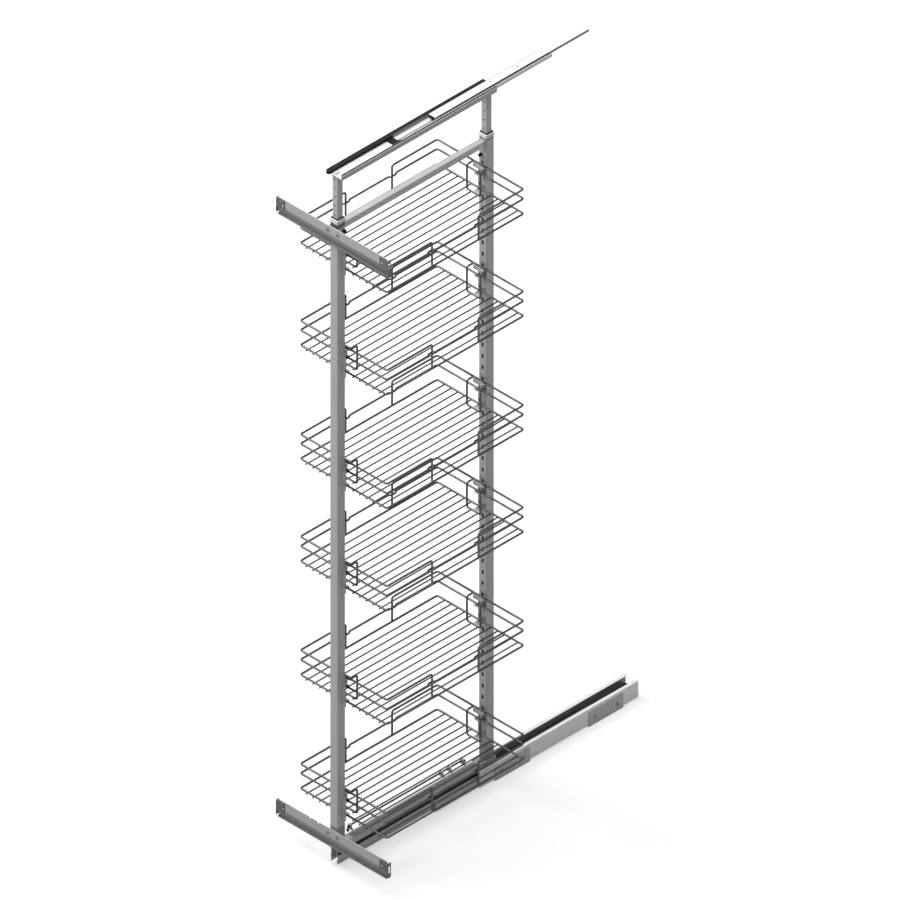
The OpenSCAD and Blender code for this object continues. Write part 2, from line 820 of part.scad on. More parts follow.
// Threaded plugs in the tops of the inner posts
module inner_post_plugs() {
    half = inner_w / 2 - tube_wall;
    color(dark_steel) for (y = post_y) difference() {
        block([-half, y - half, channel_z - 18], [half, y + half, channel_z]);
        for (dy = [-1, 1] * channel_screw_dy) {
            rod_z(channel_z - 18 - over, channel_z + over, 0, y + dy, 1.95);
        }
    }
}

module damper_housing() {
    x0 = -channel_w / 2 + sheet;
    x1 = -10.1;
    z0 = channel_z + channel_web;
    z1 = channel_z + 10.9;
    y0 = channel_front - 4;
    color(black) {
        block([x0, y0, z0], [x1, channel_front + channel_len - 1, z1]);
        rod_z(z0, z1, (x0 + x1) / 2, y0, (x1 - x0) / 2);
        block([x0 - sheet, y0, z0 + 3], [x0 + over, channel_front + channel_len - 1, z1]);
    }
}

module upper_middle_rail() {
    a = upper_mid_x[0];
    b = upper_mid_x[1];
    t = 1.3;
    color(steel) along_y(nose_len - upper_middle_out, upper_middle_len - upper_middle_out) polygon([
        [a, upper_z], [b, upper_z], [b, upper_mid_top], [b - t, upper_mid_top],
        [b - t, upper_z + t], [a + t, upper_z + t], [a + t, upper_mid_top], [a, upper_mid_top]
    ]);
}

module upper_middle_nose() {
    y0 = -upper_middle_out;
    color(black) difference() {
        block([upper_mid_x[0], y0, upper_z], [upper_mid_x[1], y0 + nose_len, upper_mid_top]);
        block([upper_cab_x[0] - 1.5, y0 - over, upper_cab_top - upper_cab_h - 1],
              [upper_cab_x[1] + 1.5, y0 + nose_len + over, upper_mid_top + over]);
    }
}

module upper_cabinet_rail() {
    a = upper_cab_x[0];
    b = upper_cab_x[1];
    z1 = upper_cab_top;
    z0 = upper_cab_top - upper_cab_h;
    t = sheet;
    color(light_steel) difference() {
        along_y(-upper_cabinet_out, upper_len - upper_cabinet_out) polygon([
            [a, z0], [a + t, z0], [a + t, z1 - t], [b - t, z1 - t], [b - t, z0], [b, z0], [b, z1],
            [a, z1]
        ]);
        for (d = ceiling_hole_y) {
            rod_z(z0, z1 + over, upper_centre_x, upper_cab_mid_y + d, ceiling_hole_r);
        }
    }
}

// A plastic plug in the front end of the top cabinet member
module upper_rail_nose() {
    t = sheet;
    y0 = -upper_cabinet_out;
    color(black) {
        block([upper_cab_x[0] + t, y0 - 1.5, upper_cab_top - upper_cab_h],
              [upper_cab_x[1] - t, y0 + 6, upper_cab_top - t]);
    }
}

// The balls run between the walls of the middle member and the cabinet member
module upper_ball_cage() {
    x = upper_cab_x[1] + (upper_mid_x[1] - 1.3 - upper_cab_x[1]) / 2 - upper_centre_x;
    translate([upper_centre_x, 0, 0]) {
        ball_cage(x, upper_ball_z, upper_ball_d, -204, 220, 11, 4.6);
    }
}

// ---- nodes -----------------------------------------------------------------------------

lower_cabinet_rail();
front_guide_cap();
front_saddle();
rear_saddle();
saddle_screws();
rail_end_stop();
lower_middle_rail();
lower_outer_ball_cage();
lower_inner_ball_cage();
lower_moving_rail();
rail_guide_strips();
rail_cover_strip();
front_post_foot();
rear_post_foot();
front_post();
rear_post();
crossbar();
front_collar();
rear_collar();
clamp_screws();
top_door_bracket();
bottom_door_bracket();
top_bracket_clips();
bottom_bracket_clips();
bracket_plates();
bracket_screws();
catch_rod();
rod_clips();
front_inner_post();
rear_inner_post();
inner_post_plugs();
upper_moving_channel();
channel_screws();
damper_housing();
upper_middle_rail();
upper_middle_nose();
upper_cabinet_rail();
upper_rail_nose();
upper_ball_cage();
for (i = [0 : 5]) {
    hanger(i, 0);
    hanger(i, 1);
    basket(i);
}
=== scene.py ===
# %% [markdown]
# # Pull out larder unit
#
# A larder unit hangs six wire baskets on two posts, and the posts roll in and out of a tall
# kitchen cabinet on one runner at the floor and one under the cabinet's top. This lesson loads
# the finished solids, sets up the camera and a plain studio, and then gives each part the
# surface of the real one: satin coated tube, zinc plated sheet, bright chromed wire and moulded
# plastic.

import json
import math

import bmesh
import bpy
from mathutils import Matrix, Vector


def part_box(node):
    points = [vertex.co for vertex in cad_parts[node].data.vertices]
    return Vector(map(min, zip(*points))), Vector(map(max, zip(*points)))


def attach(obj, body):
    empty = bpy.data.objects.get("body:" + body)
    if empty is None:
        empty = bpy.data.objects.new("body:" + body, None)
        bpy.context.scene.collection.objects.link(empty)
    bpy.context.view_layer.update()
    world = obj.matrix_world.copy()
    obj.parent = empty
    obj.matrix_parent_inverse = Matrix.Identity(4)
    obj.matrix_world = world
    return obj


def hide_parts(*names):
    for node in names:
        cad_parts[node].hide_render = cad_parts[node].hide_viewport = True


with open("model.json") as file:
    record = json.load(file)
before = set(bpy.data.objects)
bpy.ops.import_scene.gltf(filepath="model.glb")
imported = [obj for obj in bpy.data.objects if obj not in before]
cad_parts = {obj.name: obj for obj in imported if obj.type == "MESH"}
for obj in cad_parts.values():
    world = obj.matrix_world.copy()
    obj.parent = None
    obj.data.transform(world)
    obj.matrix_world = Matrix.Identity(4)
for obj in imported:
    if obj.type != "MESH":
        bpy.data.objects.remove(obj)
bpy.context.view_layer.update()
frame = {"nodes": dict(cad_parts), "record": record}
node_body = {n: b for b, nodes in frame["record"]["behaviour"]["bodies"].items() for n in nodes}

# %% [markdown]
# ## The camera
#
# The picture is an isometric view: upright lines stay upright, and the runners and the door
# brackets both climb at thirty degrees. Only a camera without perspective gives that, turned
# halfway between the front and the right side and tipped down by the isometric angle. Its width
# is the width of the picture's frame at the object's own scale.

# %% Place the camera
VIEW_WIDTH = 2.0692                           # metres across the picture's frame
VIEW_TARGET = Vector((0.0, -0.3336, 0.9835))  # what the middle of the frame looks at
VIEW_DISTANCE = 6.0
VIEW_REACH = 60.0                             # far enough to see the whole floor
HALFWAY = math.pi / 4                         # between the front and the right side
ISOMETRIC_TIP = math.atan(1 / math.sqrt(2))


def in_scene(name, data):
    """A new object in the scene, at the origin, for a camera, a lamp or a mesh."""
    thing = bpy.data.objects.new(name, data)
    bpy.context.scene.collection.objects.link(thing)
    return thing


camera_data = bpy.data.cameras.new("camera")
camera_data.type = "ORTHO"
camera_data.ortho_scale = VIEW_WIDTH
camera_data.clip_end = VIEW_REACH
camera = in_scene("camera", camera_data)
towards = Vector((math.cos(ISOMETRIC_TIP) * math.sin(HALFWAY),
                  -math.cos(ISOMETRIC_TIP) * math.cos(HALFWAY),
                  math.sin(ISOMETRIC_TIP)))
camera.location = VIEW_TARGET + VIEW_DISTANCE * towards
camera.rotation_euler = towards.to_track_quat("Z", "Y").to_euler()
bpy.context.scene.camera = camera
bpy.context.scene.view_settings.view_transform = "Standard"
print("camera at", [round(c, 3) for c in camera.location])

# %% [markdown]
# ## The world
#
# The metal needs an even glow from all sides, but the white behind the object isn't made with
# more of it, which would wash the metal out. The world has two strengths instead. A ray from
# the camera, or one that a surface mirrors or lets through, sees plain white. Every other ray
# brings the soft glow.

# %% Build the world
GLOW = 0.22         # strength of the even light on the object
SEEN_WHITE = 1.0    # strength of what the camera and reflections see
WHITE = (1, 1, 1, 1)


def lit_by_path(tree, seen_value, other_value):
    """One value for rays that show a background, straight or mirrored, and one for the rest."""
    path = tree.nodes.new("ShaderNodeLightPath")
    seen = path.outputs["Is Camera Ray"]
    for ray in ("Is Glossy Ray", "Is Transmission Ray"):
        either = tree.nodes.new("ShaderNodeMath")
        either.operation = "MAXIMUM"
        tree.links.new(seen, either.inputs[0])
        tree.links.new(path.outputs[ray], either.inputs[1])
        seen = either.outputs[0]
    mixed = tree.nodes.new("ShaderNodeMix")
    mixed.inputs["A"].default_value = other_value
    if isinstance(seen_value, float):
        mixed.inputs["B"].default_value = seen_value
    else:
        tree.links.new(seen_value, mixed.inputs["B"])
    tree.links.new(seen, mixed.inputs["Factor"])
    return mixed.outputs["Result"]


world = bpy.data.worlds.new("studio")
world.use_nodes = True
backdrop = world.node_tree.nodes["Background"]
backdrop.inputs["Color"].default_value = WHITE
world.node_tree.links.new(lit_by_path(world.node_tree, SEEN_WHITE, GLOW),
                          backdrop.inputs["Strength"])
bpy.context.scene.world = world
print("world glows at", GLOW, "and shows", SEEN_WHITE)

# %% [markdown]
# ## The lamps
#
# A product picture of steel wants one soft lamp high on the left in front, which lights the
# fronts and leaves the right sides darker, and a second one overhead for the tops. Both are
# large squares, because a small lamp would put hard glints on every wire.

# %% Hang the lamps
LAMP_SIZE = 3.0
LAMP_TARGET = Vector((0.0, -0.35, 0.9))
LAMPS = {"left_lamp": ((-2.9, -2.25, 4.5), 235), "top_lamp": ((0.0, -0.7, 5.2), 170)}

for name, (place, power) in LAMPS.items():
    lamp_data = bpy.data.lights.new(name, "AREA")
    lamp_data.shape = "SQUARE"
    lamp_data.size = LAMP_SIZE
    lamp_data.energy = power
    lamp = in_scene(name, lamp_data)
    lamp.location = place
    lamp.rotation_euler = (Vector(place) - LAMP_TARGET).to_track_quat("Z", "Y").to_euler()
    print(name, "at", place, "with", power, "watts")

# %% [markdown]
# ## The floor
#
# The object stands on a wide sheet of pale paper. In a real studio the paper curves up behind
# the object, but this camera looks down and sees nothing else, so one large flat square is
# enough.

# %% Lay the floor
FLOOR_HALF = 25.0

floor_mesh = bpy.data.meshes.new("floor")
floor = in_scene("floor", floor_mesh)
bm = bmesh.new()
bmesh.ops.create_grid(bm, x_segments=1, y_segments=1, size=FLOOR_HALF)
bm.to_mesh(floor_mesh)
bm.free()
print("floor reaches", FLOOR_HALF, "metres each way")

# %% [markdown]
# The paper also shines a little, but only where it is seen, as the world does. Close to the
# object it is mostly lit by the lamps, so that it takes the soft shadow. Further away the lamps
# fade and the paper's own shine takes over, which keeps it white up to the edge of the picture.
# So the shine follows the distance from the object. Many finishes below also turn one span of
# numbers into another, and one helper does it for all of them.

# %% Make the paper
PAPER_TONE = (0.45, 0.45, 0.45, 1)
SHINE_REACH = (0.7, 3.2)     # metres from the object
FLOOR_SHINE = (0.56, 0.97)   # strength at the near and at the far end of that reach


def mapped(tree, value, taken=(0.0, 1.0), given=(0.0, 1.0)):
    """A Map Range node that turns one span of values into another."""
    node = tree.nodes.new("ShaderNodeMapRange")
    for label, number in zip(("From Min", "From Max", "To Min", "To Max"), (*taken, *given)):
        node.inputs[label].default_value = number
    tree.links.new(value, node.inputs["Value"])
    return node


floor_look = bpy.data.materials.new("pale_floor")
floor_look.use_nodes = True
tree = floor_look.node_tree
tree.nodes.clear()
paper = tree.nodes.new("ShaderNodeBsdfDiffuse")
paper.inputs["Color"].default_value = PAPER_TONE
away = tree.nodes.new("ShaderNodeVectorMath")
away.operation = "LENGTH"
tree.links.new(tree.nodes.new("ShaderNodeTexCoord").outputs["Object"], away.inputs[0])
whiter = mapped(tree, away.outputs["Value"], SHINE_REACH, FLOOR_SHINE)
shine = tree.nodes.new("ShaderNodeEmission")
tree.links.new(lit_by_path(tree, whiter.outputs["Result"], 0.0), shine.inputs["Strength"])
both = tree.nodes.new("ShaderNodeAddShader")
out = tree.nodes.new("ShaderNodeOutputMaterial")
tree.links.new(paper.outputs[0], both.inputs[0])
tree.links.new(shine.outputs[0], both.inputs[1])
tree.links.new(both.outputs[0], out.inputs["Surface"])
floor_mesh.materials.append(floor_look)
print(floor_look.name, "shines from", FLOOR_SHINE[0], "to", FLOOR_SHINE[1])

# %% [markdown]
# ## Effects that several finishes share
#
# A new fitting has no rust or dents, but none of its surfaces is one flat colour either. Rolled
# sheet and drawn tube carry faint streaks along their length, zinc plating is slightly cloudy,
# coated steel has a fine grain, and hands leave duller patches. Each effect could be copied
# into every material, but then a change would have to be made many times. So each is a node
# group with a vector and a few numbers as inputs, built once and placed with other values in
# each material.

# %% Write the helpers for groups
FLOAT, VECTOR = "NodeSocketFloat", "NodeSocketVector"


def new_group(name, inputs, outputs):
    """A shader node group with named inputs and float outputs, and its two end nodes."""
    group = bpy.data.node_groups.new(name, "ShaderNodeTree")
    for label, kind in inputs.items():
        group.interface.new_socket(label, in_out="INPUT", socket_type=kind)
    for label in outputs:
        group.interface.new_socket(label, in_out="OUTPUT", socket_type=FLOAT)
    return group, group.nodes.new("NodeGroupInput"), group.nodes.new("NodeGroupOutput")


def math_node(tree, operation, a, b):
    """A math node on two values or sockets."""
    node = tree.nodes.new("ShaderNodeMath")
    node.operation = operation
    for socket, value in zip(node.inputs, (a, b)):
        if isinstance(value, (int, float)):
            socket.default_value = value
        else:
            tree.links.new(value, socket)
    return node.outputs[0]


def noise_node(tree, vector, scale, detail):
    """A noise texture that reads a vector and a scale."""
    node = tree.nodes.new("ShaderNodeTexNoise")
    node.inputs["Detail"].default_value = detail
    tree.links.new(vector, node.inputs["Vector"])
    tree.links.new(scale, node.inputs["Scale"])
    return node


# %% [markdown]
# Streaks are noise that is drawn out along one direction. A fine noise alone looks like cloth,
# so a second one with a fifth of its scale gives bands of different width. The vector comes in
# already squeezed along the part.

# %% Build the streaks
FINE_DETAIL, BROAD_DETAIL = 3.0, 2.0
BROAD_SHARE = 0.2    # the broad streaks' scale as a share of the fine ones'

STREAKS, start, end = new_group("rolled_streaks", {"Vector": VECTOR, "Scale": FLOAT},
                                ["Streaks"])
vector, scale = start.outputs["Vector"], start.outputs["Scale"]
fine = noise_node(STREAKS, vector, scale, FINE_DETAIL)
broad = noise_node(STREAKS, vector, math_node(STREAKS, "MULTIPLY", scale, BROAD_SHARE),
                   BROAD_DETAIL)
total = math_node(STREAKS, "ADD", fine.outputs["Fac"], broad.outputs["Fac"])
STREAKS.links.new(math_node(STREAKS, "MULTIPLY", total, 0.5), end.inputs["Streaks"])
print(STREAKS.name, "has", len(STREAKS.nodes), "nodes")

# %% [markdown]
# Clouds are slow, soft patches, for plating and for where hands have been. A smooth step over
# the middle of the noise's values leaves clear and cloudy places with soft borders.

# %% Build the clouds
CLOUD_DETAIL, CLOUD_WARP = 4.0, 0.6
CLOUD_SPAN = (0.35, 0.65)

CLOUDS, start, end = new_group("soft_clouds", {"Vector": VECTOR, "Scale": FLOAT}, ["Clouds"])
patches = noise_node(CLOUDS, start.outputs["Vector"], start.outputs["Scale"], CLOUD_DETAIL)
patches.inputs["Distortion"].default_value = CLOUD_WARP
curve = mapped(CLOUDS, patches.outputs["Fac"], CLOUD_SPAN)
curve.interpolation_type = "SMOOTHSTEP"
CLOUDS.links.new(curve.outputs["Result"], end.inputs["Clouds"])
print(CLOUDS.name, "has", len(CLOUDS.nodes), "nodes")

# %% [markdown]
# Grain is the fine even relief of a coat or of a mould's wall. Cells give it small domes and
# noise makes them uneven. The noise also comes out alone, as a tone for the colour.

# %% Build the grain
GRAIN_DETAIL = 2.0

GRAIN, start, end = new_group("fine_grain", {"Vector": VECTOR, "Scale": FLOAT},
                              ["Height", "Tone"])
vector, scale = start.outputs["Vector"], start.outputs["Scale"]
noise = noise_node(GRAIN, vector, scale, GRAIN_DETAIL)
cells = GRAIN.nodes.new("ShaderNodeTexVoronoi")
GRAIN.links.new(vector, cells.inputs["Vector"])
GRAIN.links.new(scale, cells.inputs["Scale"])
GRAIN.links.new(math_node(GRAIN, "ADD", noise.outputs["Fac"], cells.outputs["Distance"]),
                end.inputs["Height"])
GRAIN.links.new(noise.outputs["Fac"], end.inputs["Tone"])
print(GRAIN.name, "has", len(GRAIN.nodes), "nodes")

# %% [markdown]
# Some parts have two tones on one solid, such as a rail whose inside is darkened with painted
# shade. A zone is a mask that is one inside a box and zero outside it, with a soft border. For
# each axis, the
# depth behind either side of the box is turned into a ramp, and the six ramps are multiplied.

# %% Build the zone
ZONE, start, end = new_group(
    "zone", {"Vector": VECTOR, "Low": VECTOR, "High": VECTOR, "Border": FLOAT}, ["Mask"])
place, low, high = (ZONE.nodes.new("ShaderNodeSeparateXYZ") for _ in range(3))
for node, label in ((place, "Vector"), (low, "Low"), (high, "High")):
    ZONE.links.new(start.outputs[label], node.inputs[0])
mask = 1.0
for axis in "XYZ":
    for inner, outer in ((place, low), (high, place)):
        ramp = mapped(ZONE, math_node(ZONE, "SUBTRACT", inner.outputs[axis],
                                      outer.outputs[axis]))
        ZONE.links.new(start.outputs["Border"], ramp.inputs["From Max"])
        mask = math_node(ZONE, "MULTIPLY", mask, ramp.outputs["Result"])
ZONE.links.new(mask, end.inputs["Mask"])
print(ZONE.name, "has", len(ZONE.nodes), "nodes")

# %% [markdown]
# ## How a finish is made
#
# Every finish is a Principled shader whose base colour, roughness and normal come from the
# groups above. Two small helpers come first: one places a group with its own values, and one
# mixes two colours by a mask.


# %% Write the helpers for finishes
def placed_group(tree, group, vector, **values):
    """One effect group in a material, with its own values."""
    node = tree.nodes.new("ShaderNodeGroup")
    node.node_tree = group
    tree.links.new(vector, node.inputs["Vector"])
    for label, value in values.items():
        node.inputs[label].default_value = value
    return node


def colour_mix(tree, factor, blend_type="MIX"):
    """A mix node for colours with its factor linked."""
    node = tree.nodes.new("ShaderNodeMix")
    node.data_type = "RGBA"
    node.blend_type = blend_type
    tree.links.new(factor, node.inputs["Factor"])
    return node


# %% [markdown]
# Steel that was rolled or drawn has its streaks along the part, so the coordinates are squeezed
# along one axis before the noise reads them. A cast or moulded part has no direction and gets
# the grain. Object coordinates are in metres, so a scale of a thousand is a grain of about a
# millimetre.

# %% Write the pattern of a finish
SQUEEZE = 0.012             # streaks are about eighty times as long as they are wide


def pattern_and_height(tree, place, along, scale):
    """Streaks along an axis, or grain where there is no axis, as a tone and as a height."""
    if not along:
        grain = placed_group(tree, GRAIN, place, Scale=scale)
        return grain.outputs["Tone"], grain.outputs["Height"]
    squeeze = tree.nodes.new("ShaderNodeMapping")
    squeeze.inputs["Scale"].default_value = [SQUEEZE if axis == along else 1.0 for axis in "xyz"]
    tree.links.new(place, squeeze.inputs["Vector"])
    streaks = placed_group(tree, STREAKS, squeeze.outputs["Vector"], Scale=scale)
    return streaks.outputs["Streaks"], streaks.outputs["Streaks"]


# %% [markdown]
# The colour of a real coat is never one value, but two near tones are enough for it. A blend of
# the pattern and the clouds mixes them. Where a part has darker places, each of its zones then
# multiplies the colour by a factor, which keeps the streaks in the dark place as well.


# %% Write the tones of a finish
def toned(tree, place, blend, tones, zones, border):
    """Two tones mixed by a blend, then darkened in each zone by its factor."""
    mix = colour_mix(tree, blend)
    mix.inputs["A"].default_value = (*tones[0], 1)
    mix.inputs["B"].default_value = (*tones[1], 1)
    shown = mix.outputs["Result"]
    for low, high, factor in zones:
        zone = placed_group(tree, ZONE, place, Low=low, High=high, Border=border)
        darker = colour_mix(tree, zone.outputs["Mask"], "MULTIPLY")
        darker.inputs["B"].default_value = (factor, factor, factor, 1)
        tree.links.new(shown, darker.inputs["A"])
        shown = darker.outputs["Result"]
    return shown


# %% [markdown]
# The finish maker puts these together. The blend that mixes the tones also sets the roughness,
# so that a paler place is a duller one, and a very shallow bump from the same pattern gives the
# relief. Numbers that are the same all over the surface are set on the shader itself.

# %% Write the finish maker
PATTERN_SPAN = (0.3, 0.7)   # noise hardly ever leaves this span


def finish(name, tones, roughness, metallic, along=None, scale=1600.0, cloud_scale=9.0,
           bump=0.00002, cloudy=0.3, specular=0.5, edge=1.0, zones=(), border=0.0005):
    """A material from two tones, a roughness range and the strength of its effects.

    The edge value is how bright a metal's mirroring grows where it is seen almost flat. Each
    zone is a box with a factor that the colour is multiplied by.
    """
    material = bpy.data.materials.new(name)
    material.use_nodes = True
    tree = material.node_tree
    shader = tree.nodes["Principled BSDF"]
    shader.inputs["Metallic"].default_value = metallic
    shader.inputs["Specular IOR Level"].default_value = specular
    shader.inputs["Specular Tint"].default_value = (edge, edge, edge, 1)

    place = tree.nodes.new("ShaderNodeTexCoord").outputs["Object"]
    pattern, height = pattern_and_height(tree, place, along, scale)
    clouds = placed_group(tree, CLOUDS, place, Scale=cloud_scale)
    stretched = mapped(tree, pattern, PATTERN_SPAN)
    blend = math_node(
        tree, "ADD",
        math_node(tree, "MULTIPLY", stretched.outputs["Result"], 1.0 - cloudy),
        math_node(tree, "MULTIPLY", clouds.outputs["Clouds"], cloudy))
    tree.links.new(toned(tree, place, blend, tones, zones, border),
                   shader.inputs["Base Color"])
    tree.links.new(mapped(tree, blend, given=roughness).outputs["Result"],
                   shader.inputs["Roughness"])

    relief = tree.nodes.new("ShaderNodeBump")
    relief.inputs["Distance"].default_value = bump
    tree.links.new(height, relief.inputs["Height"])
    tree.links.new(relief.outputs["Normal"], shader.inputs["Normal"])
    return material


# %% [markdown]
# ## Coated steel
#
# Posts, rails and brackets are steel with a thin silver coat. It is no mirror, so it is mostly
# a plain surface with a little metal in it, and the streaks of the steel still show through.
# The cabinet rail is lighter, and painted shade darkens its inside between the walls. The
# inside could be a piece of its own, but it is only a tone, so it is a zone in the finish.

# %% Mix the coats
ALL = 2.0    # metres, further than the part reaches
SILVER_TONES = [(0.335, 0.345, 0.355), (0.385, 0.395, 0.405)]
COATED = dict(roughness=(0.36, 0.5), metallic=0.15, scale=700)
# Painted shade: this zone darkens the inside of the cabinet rail by its factor.
RAIL_INSIDE_SHADE = ((-0.0205, -ALL, 0.0055), (0.0205, ALL, 0.0480), 0.33)

SILVER_COAT = {axis: finish(f"silver_coat_{axis}", SILVER_TONES, along=axis, **COATED)
               for axis in "yz"}
RAIL_COAT = finish("rail_coat_y", [(0.62, 0.63, 0.64), (0.70, 0.71, 0.72)], along="y",
                   zones=[RAIL_INSIDE_SHADE], **COATED)
GREY_COAT = finish("grey_coat", [(0.35, 0.36, 0.37), (0.41, 0.42, 0.43)], (0.4, 0.55), 0.15)
print("coats:", SILVER_COAT["y"].name, SILVER_COAT["z"].name, RAIL_COAT.name, GREY_COAT.name)

# %% [markdown]
# A post is darker right under its collar, with painted shade where the collar meets it. The
# lower band of a door bracket turns back under the flat one, and painted shade darkens it too.
# Each of these four parts has its zone at its own height, so the coats come from two small
# tables of heights and factors.

# %% Mix the coats of the posts and the brackets
POST_TOP = 1.9    # metres, above both collars
# Painted shade: each post is darkened from its start up to the collar by its factor.
COLLAR_SHADE_BANDS = {"front": (1.799, 0.16), "rear": (1.806, 0.35)}    # its start and factor
POST_COAT = {
    end: finish(f"post_coat_{end}", SILVER_TONES, along="z",
                zones=[((-ALL, -ALL, low), (ALL, ALL, POST_TOP), factor)], **COATED)
    for end, (low, factor) in COLLAR_SHADE_BANDS.items()}

BRACKET_TONES = [(0.30, 0.31, 0.32), (0.37, 0.38, 0.39)]
# Painted shade: each bracket's lower band is darkened by its factor.
BRACKET_FEET = {"top": (1.7565, 0.42), "bottom": (0.0595, 0.48)}    # its foot and factor
BAND_BELOW, BAND_ABOVE = 0.01, 0.0215    # metres from a bracket's foot
BAND_BORDER = 0.003                      # metres over which the shade fades
BRACKET_COAT = {
    end: finish(f"bracket_coat_{end}", BRACKET_TONES, along="x", border=BAND_BORDER,
                zones=[((-ALL, -ALL, foot - BAND_BELOW), (ALL, ALL, foot + BAND_ABOVE), factor)],
                **COATED)
    for end, (foot, factor) in BRACKET_FEET.items()}
print("coats:", [m.name for m in (*POST_COAT.values(), *BRACKET_COAT.values())])

# %% [markdown]
# ## Zinc
#
# The crossbar and the hangers are bright zinc, more cloudy than a coat and a little shinier.
# Screws are passivated darker. The clips of the door brackets are deeply folded, and their
# much darker colour is painted shade for the shade between their folds.

# %% Mix the zincs
BRIGHT_ZINC = {axis: finish(f"bright_zinc_{axis}", [(0.35, 0.36, 0.37), (0.43, 0.44, 0.45)],
                            (0.3, 0.45), 0.2, along=axis, scale=1100, cloudy=0.5)
               for axis in "yz"}
DARK_ZINC = finish("dark_zinc", [(0.15, 0.155, 0.16), (0.21, 0.215, 0.22)], (0.3, 0.5), 0.6,
                   cloudy=0.6)
# Painted shade: the clips' very dark colour stands for the shade in their folds.
CLIP_SHADED_ZINC = finish("clip_shaded_zinc", [(0.06, 0.062, 0.066), (0.10, 0.102, 0.106)], (0.3, 0.5), 0.5,
                   cloudy=0.6)
print("zincs:", [m.name for m in (*BRIGHT_ZINC.values(), DARK_ZINC, CLIP_SHADED_ZINC)])

# %% [markdown]
# ## Chromed wire
#
# Chrome mirrors what is around it. In a real room much of that is dark, and in a white studio
# a true chrome would vanish against the white. Pictures of chromed wire show it dark with soft
# glints, so this chrome is a metal with a deep grey colour, a fairly soft gloss and a low tint
# at its edges.

# %% Mix the chrome
CHROME = finish("chromed_wire", [(0.070, 0.073, 0.076), (0.092, 0.095, 0.098)], (0.28, 0.4), 1.0,
                scale=2500, cloud_scale=30, bump=0.000004, cloudy=0.7, edge=0.25)
print("chrome:", CHROME.name)

# %% [markdown]
# ## Mouldings and rubber
#
# Collars, caps, feet, cages and the damper housing are moulded, with the fine grain of the
# mould in them. They differ only in tone. The black one is given less gloss than usual, because
# a white studio would lift it to grey. Rubber is duller still.

# %% Mix the mouldings
MOULDED = dict(metallic=0.0, scale=2200, bump=0.00004)
GREY_MOULD = finish("grey_moulding", [(0.12, 0.125, 0.13), (0.15, 0.155, 0.16)],
                    (0.45, 0.6), **MOULDED)
CAP_MOULD = finish("cap_moulding", [(0.62, 0.63, 0.64), (0.68, 0.69, 0.70)],
                   (0.45, 0.6), **MOULDED)
FOOT_MOULD = finish("foot_moulding", [(0.22, 0.225, 0.23), (0.26, 0.265, 0.27)],
                    (0.45, 0.6), **MOULDED)
PALE_MOULD = finish("pale_moulding", [(0.64, 0.65, 0.66), (0.70, 0.71, 0.72)],
                    (0.4, 0.55), **MOULDED)
BLACK_MOULD = finish("black_moulding", [(0.005, 0.005, 0.0055), (0.009, 0.009, 0.010)],
                     (0.55, 0.7), specular=0.12, **MOULDED)
RUBBER = finish("black_rubber", [(0.010, 0.010, 0.010), (0.020, 0.020, 0.020)],
                (0.7, 0.85), 0.0, scale=1800, bump=0.00005)
print("mouldings:", [m.name for m in (GREY_MOULD, CAP_MOULD, FOOT_MOULD, PALE_MOULD,
                                      BLACK_MOULD, RUBBER)])

# %% [markdown]
# ## Fresh zinc for the top runner
#
# The members of the top runner are fresh zinc, nearly white from above. Painted shade darkens
# their upright sides, the rolled edge of the moving channel and the middle member's web beside
# its right wall, and the middle member's left wall has a painted dark reflection of the black
# damper housing, so these finishes have darker zones.

# %% Mix the top runner's finishes
FRESH = [(0.58, 0.59, 0.60), (0.66, 0.67, 0.68)]
RUNNER_ZINC = dict(roughness=(0.32, 0.45), metallic=0.1, along="y", scale=1100, cloudy=0.5)
# Painted shade on the sides, the channel's edge and the middle member's web; the left wall's
# zone is a painted reflection of the damper housing.
CABINET_SIDE_SHADE = ((0.0150, -ALL, 1.9), (0.03, ALL, 1.9590), 0.3)
CHANNEL_EDGE_SHADE = ((0.0208, -ALL, 1.9514), (0.03, ALL, 1.97), 0.10)
CHANNEL_SIDE_SHADE = ((0.0222, -ALL, 1.9), (0.03, ALL, 1.9510), 0.48)
LEFT_WALL_REFLECTION = ((-0.02, -ALL, 1.9), (-0.0080, ALL, 2.0), 0.04)
RIGHT_WEB_SHADE = ((0.0035, -ALL, 1.9), (0.0195, ALL, 2.0), 0.3)

TOP_ZINC = finish("top_zinc", FRESH, zones=[CABINET_SIDE_SHADE], **RUNNER_ZINC)
CHANNEL_ZINC = finish("channel_zinc", FRESH, zones=[CHANNEL_EDGE_SHADE, CHANNEL_SIDE_SHADE], **RUNNER_ZINC)
MIDDLE_ZINC = finish("middle_zinc", FRESH, zones=[LEFT_WALL_REFLECTION, RIGHT_WEB_SHADE], **RUNNER_ZINC)
print("fresh zincs:", TOP_ZINC.name, CHANNEL_ZINC.name, MIDDLE_ZINC.name)

# %% [markdown]
# ## How a solid is dressed
#
# The solids are exact, but every edge on them is perfectly sharp, and no folded sheet, cut tube
# or moulding has such an edge: a thin rounded line there catches the light and makes the part
# look solid. The solids themselves are left alone. Each gets a merged copy with a fine bevel
# and smooth shading on its round faces, and the copy rides on the same body. Wires need no
# bevel, only the smooth shading.

# %% Write the dresser
MERGE_DISTANCE = 0.000002           # metres, joins the solid's loose triangles
FLAT_ANGLE = math.radians(0.5)      # faces this flat to each other become one
SMOOTH_ANGLE = math.radians(32)     # sharper edges keep their crease
ROUNDED_ANGLE = math.radians(40)    # sharper edges are rounded
ROUNDED_SEGMENTS = 2


